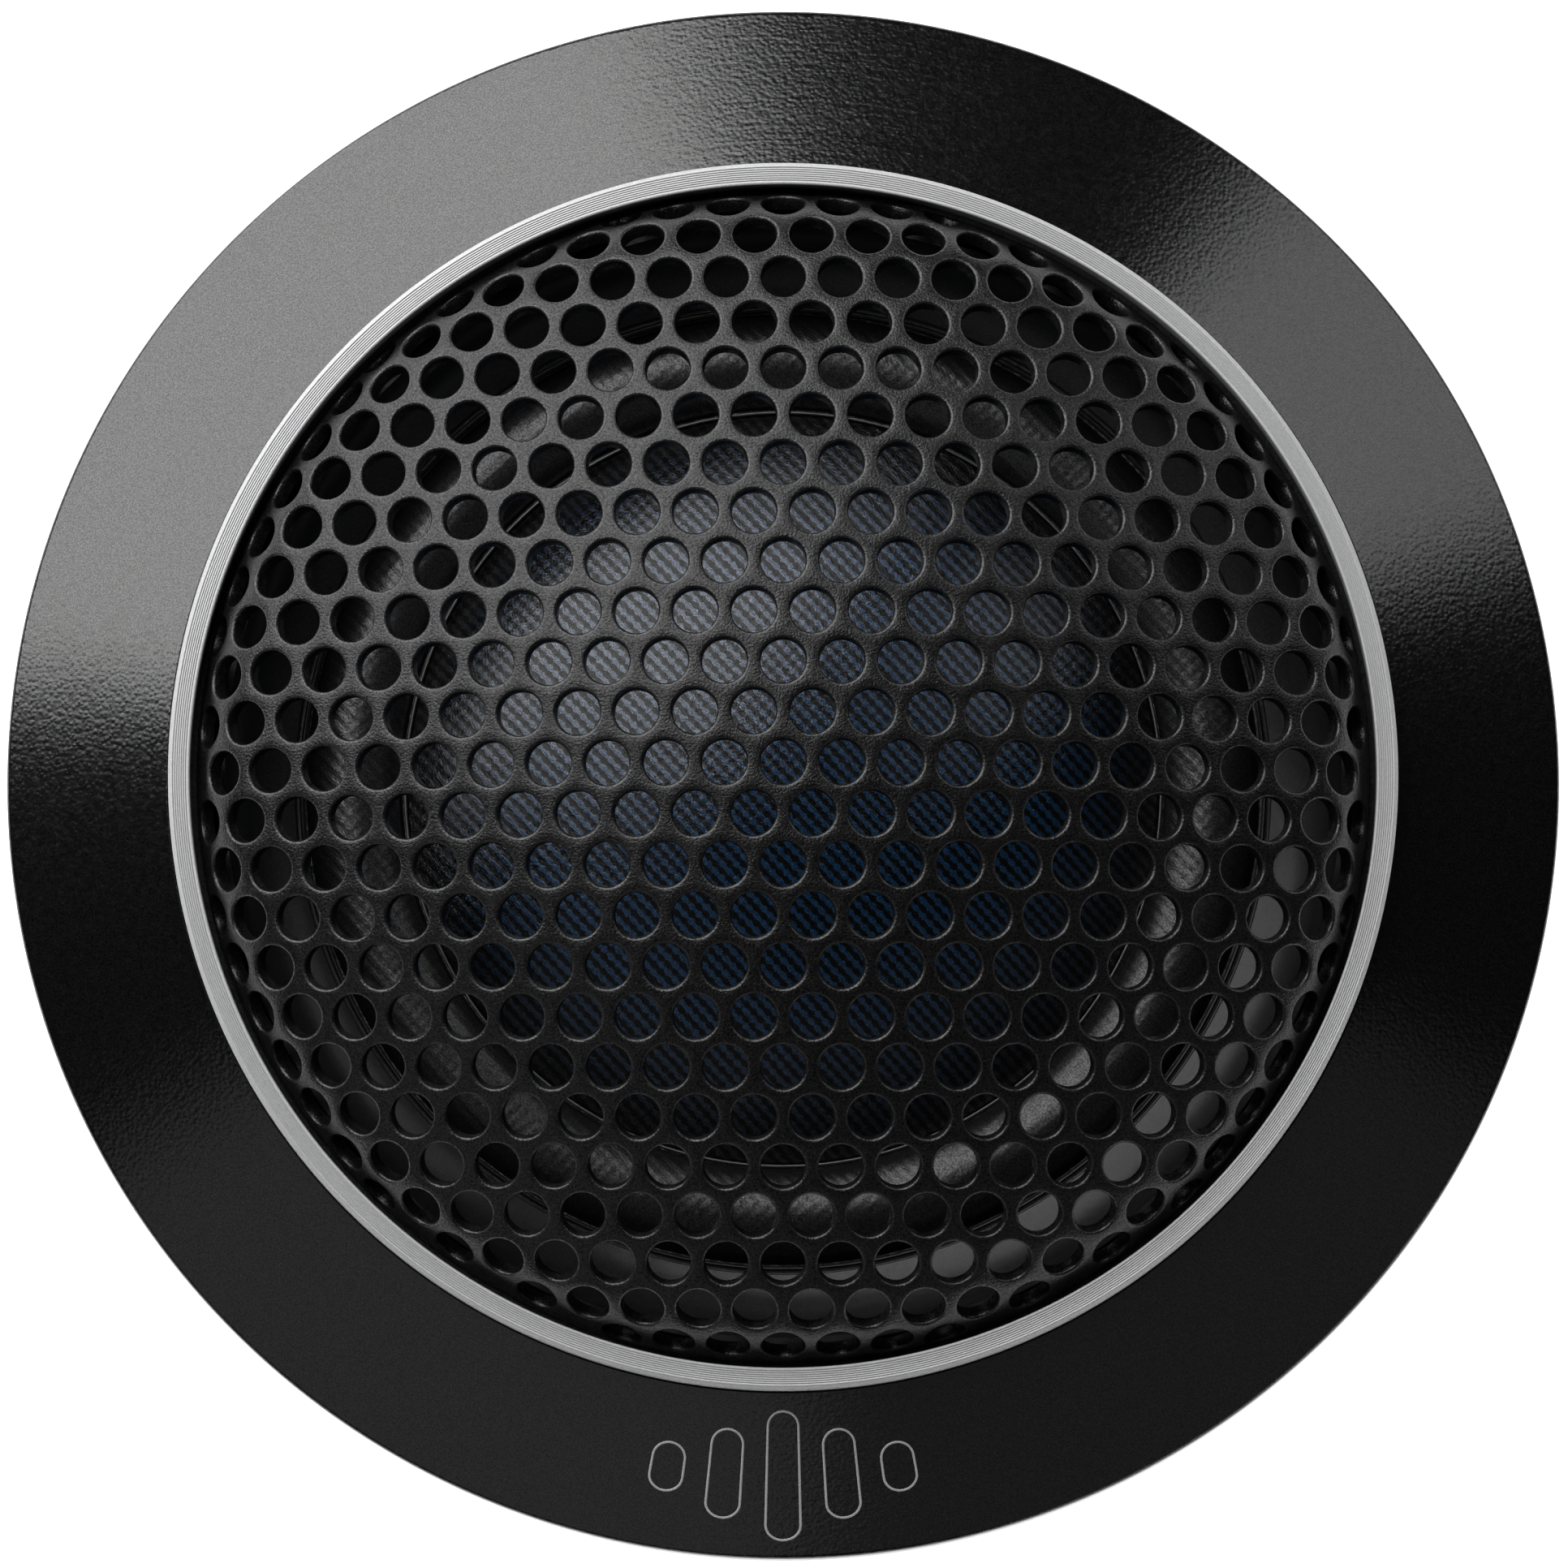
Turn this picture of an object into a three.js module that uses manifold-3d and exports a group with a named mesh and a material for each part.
// A flush-mount car tweeter: a soft dome and its neodymium motor inside a threaded cup, behind a domed
// perforated grille. Millimetres, +Z along the axis towards the listener. The origin is the centre of
// the rear face, which the part stands on. It is held in a panel by a nut and washer on the threaded cup.

import * as THREE from "three";
import { mergeVertices } from "three/addons/utils/BufferGeometryUtils.js";
import Module from "manifold-3d";

const wasm = await Module();
wasm.setup();

// ---------- driving dimensions ----------

const sides = 36; // facets round the turned pieces on the axis
const smallSides = 14; // facets round screws, columns and holes
const skin = 0.05; // clearance between pieces that lie on each other

const panelSeat = 20; // rear plane of the flange
const flangeRadius = 26.5;
const rimHeight = 1.2; // thickness of the flange at its rim
const seatRadius = 21.05; // inner end of the flange's slope, round the trim ring
const slopeTop = panelSeat + 4.1;
const seatFloor = panelSeat + 3.1; // where the grille and the trim ring stand

const barrelBore = 19.6;
const barrelRoot = 20.9; // radius at the bottom of the thread
const threadHeight = 0.6;
const threadPitch = 2;
const threadTurns = 6;
const barrelEnd = 4.5;
const shelfRadius = 18.8; // shoulder in the bore, between the chassis and the rear housing
const shelfBottom = 12.6;
const shelfTop = 13.4;

const ringInner = 20.2;
const ringOuter = 20.95;
const ringTop = panelSeat + 5.05;

const grilleApex = panelSeat + 11.2;
const grilleCurve = 40.5; // radius of the grille's dome
const grilleRadius = 20;
const grilleShoulder = 3.6; // radius of its rolled edge
const grilleSheet = 0.5;

const seamRadius = 12.9; // where the dome, the surround and the former meet
const seamHeight = panelSeat - 1.2;
const domeCurve = 20;
const domeCloth = 0.3;
const rollOuter = 16.25;
const rollHeight = 1.2;
const surroundOuter = 18.2;
const throatRadius = 16.7; // bottom of the waveguide's concave wall
const mouthRadius = 19.05; // its top
const wallCurve = 3.3;

const chassisRadius = 19.3;
const chassisTop = seamHeight - 0.4;
const lipTop = seamHeight - 0.1;

const yokeRadius = 15;
const yokeBottom = 9.8;
const yokeFloor = 11.8;
const yokeTop = 17.8;
const gapOuter = 13.7; // inner wall of the yoke cup, across the magnetic gap
const magnetRadius = 11.9;
const poleRadius = 12.35;
const poleBottom = 15.8;

const screwCircle = 16.9;
const screwAngles = [90, 210, 330];
const screwRadius = 0.9;
const headRadius = 1.6;

const terminalRow = -8.6; // y of the two solder lugs
const terminalSpread = 3.5; // half the distance between them
const recessDepth = 3.8;
const leadX = 3.73; // where each lead wire climbs past the yoke
const leadY = 16.2;

const panelGap = 3; // room for the panel between the gasket and the washer
const gasketThickness = 0.8;
const washerThickness = 1;
const washerOuter = 25.2;
const nutHeight = 5;
const nutCrest = 24.9; // radius over the grip ribs
const nutValley = 24.2;
const nutRibs = 20;

// ---------- helpers ----------

// A profile, a list of [radius, height], turned about Z. A LatheGeometry turns about Y, so it is laid over.
function turned(profile, facets = sides) {
  const points = profile.map(([r, h]) => new THREE.Vector2(r, h));
  return new THREE.LatheGeometry(points, facets).rotateX(Math.PI / 2);
}

// A ring of rectangular section.
function ring(inner, outer, bottom, top) {
  return turned([
    [inner, bottom],
    [outer, bottom],
    [outer, top],
    [inner, top],
    [inner, bottom],
  ]);
}

// A disc or cylinder along Z.
function disc(radius, bottom, top, facets = sides) {
  const profile = [
    [0, bottom],
    [radius, bottom],
    [radius, top],
    [0, top],
  ];
  return turned(profile, facets);
}

function block(width, depth, height, x, y, bottom) {
  return new THREE.BoxGeometry(width, depth, height).translate(x, y, bottom + height / 2);
}

// Points of an arc, with angles in radians measured from +Z towards the outside.
function arc(centreRadius, centreHeight, radius, from, to, steps) {
  return Array.from({ length: steps + 1 }, (_, i) => {
    const a = from + ((to - from) * i) / steps;
    return [centreRadius + radius * Math.sin(a), centreHeight + radius * Math.cos(a)];
  });
}

function solid(geometry) {
  const bare = geometry.clone();
  bare.deleteAttribute("normal");
  bare.deleteAttribute("uv");
  const merged = mergeVertices(bare, 1e-3);
  return new wasm.Manifold(
    new wasm.Mesh({
      numProp: 3,
      vertProperties: merged.attributes.position.array,
      triVerts: new Uint32Array(merged.index.array),
    }),
  );
}

function geometryOf(manifold) {
  const mesh = manifold.getMesh();
  return new THREE.BufferGeometry()
    .setAttribute("position", new THREE.BufferAttribute(mesh.vertProperties, 3))
    .setIndex(new THREE.BufferAttribute(mesh.triVerts, 1));
}

function cut(geometry, ...tools) {
  return geometryOf(tools.reduce((rest, tool) => rest.subtract(solid(tool)), solid(geometry)));
}

function join(geometry, ...others) {
  return geometryOf(others.reduce((sum, other) => sum.add(solid(other)), solid(geometry)));
}

function onScrewCircle(angle) {
  const a = THREE.MathUtils.degToRad(angle);
  return [screwCircle * Math.cos(a), screwCircle * Math.sin(a)];
}

const model = new THREE.Group();

function piece(name, geometry, material) {
  const mesh = new THREE.Mesh(geometry, material);
  mesh.name = name;
  model.add(mesh);
}

function finish(color, roughness, metalness) {
  return new THREE.MeshStandardMaterial({ color, roughness, metalness });
}

// ---------- materials ----------

const blackPlastic = finish(0x141414, 0.5, 0);
const smoothPlastic = finish(0x1c1c1d, 0.35, 0);
const aluminium = finish(0xb9bcbf, 0.35, 1);
const grillePaint = finish(0x17181a, 0.45, 0.3);
const domeFabric = finish(0x16263c, 0.6, 0);
const coatedCloth = finish(0x0b0b0c, 0.3, 0);
const plating = finish(0x9a9ea2, 0.35, 1);
const nickel = finish(0xc4c4c0, 0.2, 1);
const copper = finish(0xb5693c, 0.35, 1);
const felt = finish(0x4a4846, 0.95, 0);
const foam = finish(0x101010, 0.9, 0);
const boardLaminate = finish(0x5c4326, 0.6, 0);
const redSleeve = finish(0x7a1712, 0.5, 0);
const blackSleeve = finish(0x0e0e0e, 0.5, 0);

// ---------- flange, grille and trim ----------

// The bezel and the threaded barrel are one moulding. The thread is drawn as level ridges.
function mountingFlange() {
  const threadStart = barrelEnd + 1;
  const ridges = Array.from({ length: threadTurns }, (_, turn) => [
    [barrelRoot, threadStart + turn * threadPitch],
    [barrelRoot + threadHeight, threadStart + (turn + 0.5) * threadPitch],
  ]).flat();
  return turned([
    [barrelBore, barrelEnd],
    [barrelRoot, barrelEnd],
    ...ridges,
    [barrelRoot, threadStart + threadTurns * threadPitch],
    [barrelRoot, panelSeat],
    [flangeRadius - 0.2, panelSeat],
    [flangeRadius, panelSeat + 0.2],
    [flangeRadius, panelSeat + rimHeight - 0.2],
    [flangeRadius - 0.2, panelSeat + rimHeight],
    [seatRadius, slopeTop],
    [seatRadius, seatFloor],
    [barrelBore, seatFloor],
    [barrelBore, shelfTop],
    [shelfRadius, shelfTop],
    [shelfRadius, shelfBottom],
    [barrelBore, shelfBottom],
    [barrelBore, barrelEnd],
  ]);
}

const tapeTop = seatFloor + 0.25;

function trimRing() {
  return turned([
    [ringInner, tapeTop + skin],
    [ringOuter, tapeTop + skin],
    [ringOuter, ringTop - 0.12],
    [ringOuter - 0.1, ringTop],
    [ringInner + 0.06, ringTop],
    [ringInner, ringTop - 0.06],
    [ringInner, tapeTop + skin],
  ]);
}

// One side of the grille's sheet, from the axis out over the rolled edge and down the skirt.
function grilleFace(inset) {
  const centre = grilleApex - grilleCurve;
  const bendRadius = grilleRadius - grilleShoulder;
  const bendAngle = Math.asin(bendRadius / (grilleCurve - grilleShoulder));
  const bendHeight = centre + (grilleCurve - grilleShoulder) * Math.cos(bendAngle);
  return [
    ...arc(0, centre, grilleCurve - inset, 0, bendAngle, 6),
    ...arc(bendRadius, bendHeight, grilleShoulder - inset, bendAngle, Math.PI / 2, 4).slice(1),
    [grilleRadius - inset, tapeTop + skin],
  ];
}

// Plain domed sheet: its perforation is finer than the facets used here.
function grilleDome() {
  return turned([...grilleFace(grilleSheet), ...grilleFace(0).reverse()]);
}

piece("mounting_flange", mountingFlange(), blackPlastic);
piece("grille_tape", ring(barrelBore + 0.1, seatRadius - 0.1, seatFloor + skin, tapeTop), foam);
piece("trim_ring", trimRing(), aluminium);
piece("grille_dome", grilleDome(), grillePaint);

// ---------- waveguide, diaphragm and surround ----------

// The faceplate's concave wall rises from the diaphragm's frame to just under the grille.
function faceplate() {
  const throatHeight = seamHeight + 0.6;
  const mouthHeight = seatFloor - 0.25;
  const throatAngle = Math.PI - Math.asin((throatRadius - mouthRadius + wallCurve) / wallCurve);
  return turned([
    [throatRadius, throatHeight],
    [surroundOuter + 0.2, throatHeight],
    [surroundOuter + 0.2, chassisTop + skin],
    [chassisRadius, chassisTop + skin],
    [chassisRadius, mouthHeight],
    ...arc(mouthRadius - wallCurve, mouthHeight, wallCurve, Math.PI / 2, throatAngle, 5),
    [throatRadius, throatHeight],
  ]);
}

// Half a roll between the seam and the frame ring, with a flat lip on the chassis.
function surround() {
  const rollInner = seamRadius + 0.15;
  const crest = (rollInner + rollOuter) / 2;
  const halfWidth = (rollOuter - rollInner) / 2;
  const base = lipTop;
  const side = (inset) =>
    arc(0, 0, 1, -Math.PI / 2, Math.PI / 2, 6).map(([across, up]) => [
      crest + (halfWidth - inset) * across,
      base - domeCloth + (rollHeight + domeCloth - inset) * up,
    ]);
  return turned([
    [seamRadius + 0.05, base - domeCloth + skin],
    ...side(domeCloth).map(([r, h]) => [r, h + skin]),
    [surroundOuter, base - domeCloth + skin],
    [surroundOuter, base],
    [rollOuter, base],
    ...side(0).reverse().slice(1, -1),
    [seamRadius + 0.15, base],
    [seamRadius + 0.05, base],
    [seamRadius + 0.05, base - domeCloth + skin],
  ]);
}

function dome() {
  const centre = seamHeight - Math.sqrt(domeCurve ** 2 - seamRadius ** 2);
  const edge = Math.asin(seamRadius / domeCurve);
  return turned([
    ...arc(0, centre, domeCurve - domeCloth, 0, edge, 7),
    ...arc(0, centre, domeCurve, edge, 0, 7),
  ]);
}

const formerInner = seamRadius - 0.24;
const formerOuter = seamRadius - 0.08;
const coilOuter = seamRadius + 0.35;

piece("faceplate", faceplate(), smoothPlastic);
piece(
  "surround_ring",
  ring(rollOuter + 0.2, surroundOuter, lipTop + skin, seamHeight + 0.55),
  blackPlastic,
);
piece("surround", surround(), coatedCloth);
piece("dome", dome(), domeFabric);
piece("voice_coil_former", ring(formerInner, formerOuter, poleBottom - 0.4, seamHeight - 0.25), aluminium);
piece("voice_coil_winding", ring(formerOuter + 0.02, coilOuter, poleBottom, yokeTop), copper);

// ---------- motor and chassis ----------

function yokeCup() {
  return turned([
    [0, yokeBottom],
    [yokeRadius - 0.3, yokeBottom],
    [yokeRadius, yokeBottom + 0.3],
    [yokeRadius, yokeTop],
    [gapOuter, yokeTop],
    [gapOuter, yokeFloor],
    [0, yokeFloor],
  ]);
}

// Felt plug under the dome, crowned so that it stays clear of the cloth.
function dampingPad() {
  const radius = 9;
  const edge = yokeTop + skin + 1.6;
  return turned([
    [0, yokeTop + skin],
    [radius, yokeTop + skin],
    [radius, edge],
    [radius - 1.5, edge + 0.9],
    [0, edge + 1.6],
  ]);
}

// Holds the motor and the diaphragm; slots let the lead wires up past the yoke.
function chassisRing() {
  const plain = ring(yokeRadius + 0.1, chassisRadius, shelfTop + 0.1, chassisTop);
  const pilotTop = 17;
  const pilots = screwAngles.map((angle) => {
    const [x, y] = onScrewCircle(angle);
    return disc(screwRadius + 0.1, shelfTop - 1, pilotTop, smallSides).translate(x, y, 0);
  });
  const slots = [-1, 1].map((side) =>
    block(1.2, 3, 8, side * leadX, -leadY, shelfTop - 1),
  );
  return cut(plain, ...pilots, ...slots);
}

piece("yoke_cup", yokeCup(), plating);
piece("magnet", disc(magnetRadius, yokeFloor + skin, poleBottom - skin), nickel);
piece("pole_plate", disc(poleRadius, poleBottom, yokeTop), plating);
piece("damping_pad", dampingPad(), felt);
piece("chassis_ring", chassisRing(), blackPlastic);

// ---------- rear housing, terminals and fasteners ----------

const floorTop = 1.4;
const columnRadius = 2.3;
const columnNeck = 1.6; // radius above the foot of each screw column
const columnFoot = 4; // height of that foot
const recessWidth = 15;
const recessLength = 9;
const recessWall = 1;
const headSeat = 1.9;

// A lid that closes the barrel: a shell with three screw columns and a recess for the terminals.
function rearHousing() {
  const wall = 1.2;
  const shell = turned([
    [0, 0],
    [barrelRoot - 0.6, 0],
    [barrelRoot, 0.6],
    [barrelRoot, barrelEnd - 0.1],
    [chassisRadius, barrelEnd - 0.1],
    [chassisRadius, shelfBottom - 0.1],
    [chassisRadius - wall, shelfBottom - 0.1],
    [chassisRadius - wall, floorTop],
    [0, floorTop],
  ]);
  const columns = screwAngles.map((angle) => {
    const [x, y] = onScrewCircle(angle);
    const profile = [
      [0, 0.5],
      [columnRadius, 0.5],
      [columnRadius, columnFoot],
      [columnNeck, columnFoot],
      [columnNeck, shelfTop - 0.1],
      [0, shelfTop - 0.1],
    ];
    return turned(profile, smallSides).translate(x, y, 0);
  });
  const recessOuter = block(
    recessWidth + 2 * recessWall,
    recessLength + 2 * recessWall,
    recessDepth - 0.5,
    0,
    terminalRow,
    0.5,
  );
  const holes = screwAngles.flatMap((angle) => {
    const [x, y] = onScrewCircle(angle);
    return [
      disc(headRadius + 0.2, -1, headSeat, smallSides).translate(x, y, 0),
      disc(screwRadius + 0.1, -1, shelfTop + 1, smallSides).translate(x, y, 0),
    ];
  });
  const recess = block(recessWidth, recessLength, recessDepth + 2, 0, terminalRow, -1);
  const joined = join(shell, ...columns, recessOuter);
  return cut(joined, recess, ...holes);
}

const boardTop = recessDepth + skin + 1.2;
const lugSizes = { positive: 4.8, negative: 2.8 };
const lugThickness = 0.6;

function terminalBoard() {
  const plain = block(recessWidth + 1.4, recessLength + 1.4, 1.2, 0, terminalRow, recessDepth + skin);
  const slot = (side, width) =>
    block(width + 0.2, lugThickness + 0.2, 4, side * terminalSpread, terminalRow, recessDepth - 1);
  return cut(plain, slot(-1, lugSizes.positive), slot(1, lugSizes.negative));
}

// A flat solder lug with an eye near its tip.
function solderLug(side, width) {
  const tip = 0.6;
  const length = boardTop + 0.4 - tip;
  const eye = disc(0.55, -2, 2, smallSides)
    .rotateX(Math.PI / 2)
    .translate(side * terminalSpread, terminalRow, tip + 1.1);
  const blade = block(width, lugThickness, length, side * terminalSpread, terminalRow, tip);
  return cut(blade, eye);
}

// A lead wire climbs from its lug past the yoke and turns in to the voice coil under the surround.
function leadWire(side) {
  const route = [
    [terminalSpread, -terminalRow, boardTop + 0.5],
    [terminalSpread, -terminalRow + 0.4, boardTop + 1.6],
    [leadX, 12.5, 8.2],
    [leadX, leadY, 10],
    [leadX, leadY, 12.5],
    [leadX, leadY, 15],
    [leadX, leadY - 0.1, 17.3],
    [leadX - 0.15, leadY - 0.9, 18.08],
    [leadX - 0.6, leadY - 2.9, 18.08],
  ].map(([x, y, z]) => new THREE.Vector3(side * x, -y, z));
  const section = new THREE.Shape().absellipse(0, 0, 0.2, 0.2, 0, 2 * Math.PI);
  return new THREE.ExtrudeGeometry(section, {
    extrudePath: new THREE.CatmullRomCurve3(route, false, "centripetal"),
    steps: 20,
    curveSegments: 2,
  });
}

// Pan-head screw, driven upwards from the rear, with a cross recess in its head.
function housingScrew(angle) {
  const headBottom = 0.4;
  const headTop = headSeat - skin;
  const shankTop = 16.6;
  const profile = [
    [0, headBottom],
    [headRadius - 0.4, headBottom],
    [headRadius, headBottom + 0.5],
    [headRadius, headTop],
    [screwRadius, headTop],
    [screwRadius, shankTop - 0.8],
    [0, shankTop],
  ];
  const slotLength = 1.9;
  const slotWidth = 0.45;
  const slots = [
    block(slotLength, slotWidth, 1.2, 0, 0, headBottom - 0.5),
    block(slotWidth, slotLength, 1.2, 0, 0, headBottom - 0.5),
  ];
  const [x, y] = onScrewCircle(angle);
  return cut(turned(profile, smallSides), ...slots).translate(x, y, 0);
}

// Loose felt on the floor of the rear chamber, cut straight beside the terminal recess.
function chamberPad() {
  const radius = 13.5;
  const thickness = 4;
  const front = terminalRow + recessLength / 2 + recessWall + 0.6;
  const corner = Math.asin(front / radius);
  const outline = new THREE.Shape();
  outline.absarc(0, 0, radius, corner, Math.PI - corner, false);
  outline.closePath();
  const pad = new THREE.ExtrudeGeometry(outline, {
    depth: thickness,
    bevelEnabled: false,
    curveSegments: 16,
  });
  return pad.translate(0, 0, floorTop + skin);
}

piece("rear_housing", rearHousing(), blackPlastic);
piece("chamber_pad", chamberPad(), felt);
piece("terminal_board", terminalBoard(), boardLaminate);
piece("terminal_positive", solderLug(-1, lugSizes.positive), nickel);
piece("terminal_negative", solderLug(1, lugSizes.negative), nickel);
piece("lead_wire_positive", leadWire(-1), redSleeve);
piece("lead_wire_negative", leadWire(1), blackSleeve);
screwAngles.forEach((angle, i) => piece(`housing_screw_${i + 1}`, housingScrew(angle), plating));

// ---------- panel fixing ----------

const gasketBottom = panelSeat - gasketThickness;
const washerTop = gasketBottom - panelGap;
const nutTop = washerTop - washerThickness - 0.1;

// A ring nut with grip ribs round its outside. Its bore clears the crests of the barrel's thread.
function lockingNut() {
  const bore = barrelRoot + threadHeight + 0.15;
  const corners = nutRibs * 4;
  const outline = new THREE.Shape(
    Array.from({ length: corners }, (_, i) => {
      const a = ((i + 0.5) * 2 * Math.PI) / corners;
      const radius = i % 4 < 2 ? nutCrest : nutValley;
      return new THREE.Vector2(radius * Math.cos(a), radius * Math.sin(a));
    }),
  );
  outline.holes.push(new THREE.Path().absarc(0, 0, bore, 0, 2 * Math.PI, true));
  return new THREE.ExtrudeGeometry(outline, {
    depth: nutHeight,
    bevelEnabled: false,
    curveSegments: sides,
  }).translate(0, 0, nutTop - nutHeight);
}

piece("panel_gasket", ring(barrelRoot + 1, flangeRadius - 0.4, gasketBottom, panelSeat - skin), foam);
const washerInner = barrelRoot + threadHeight + 0.3;
piece("clamp_washer", ring(washerInner, washerOuter, washerTop - washerThickness, washerTop), plating);
piece("locking_nut", lockingNut(), blackPlastic);

export default model;
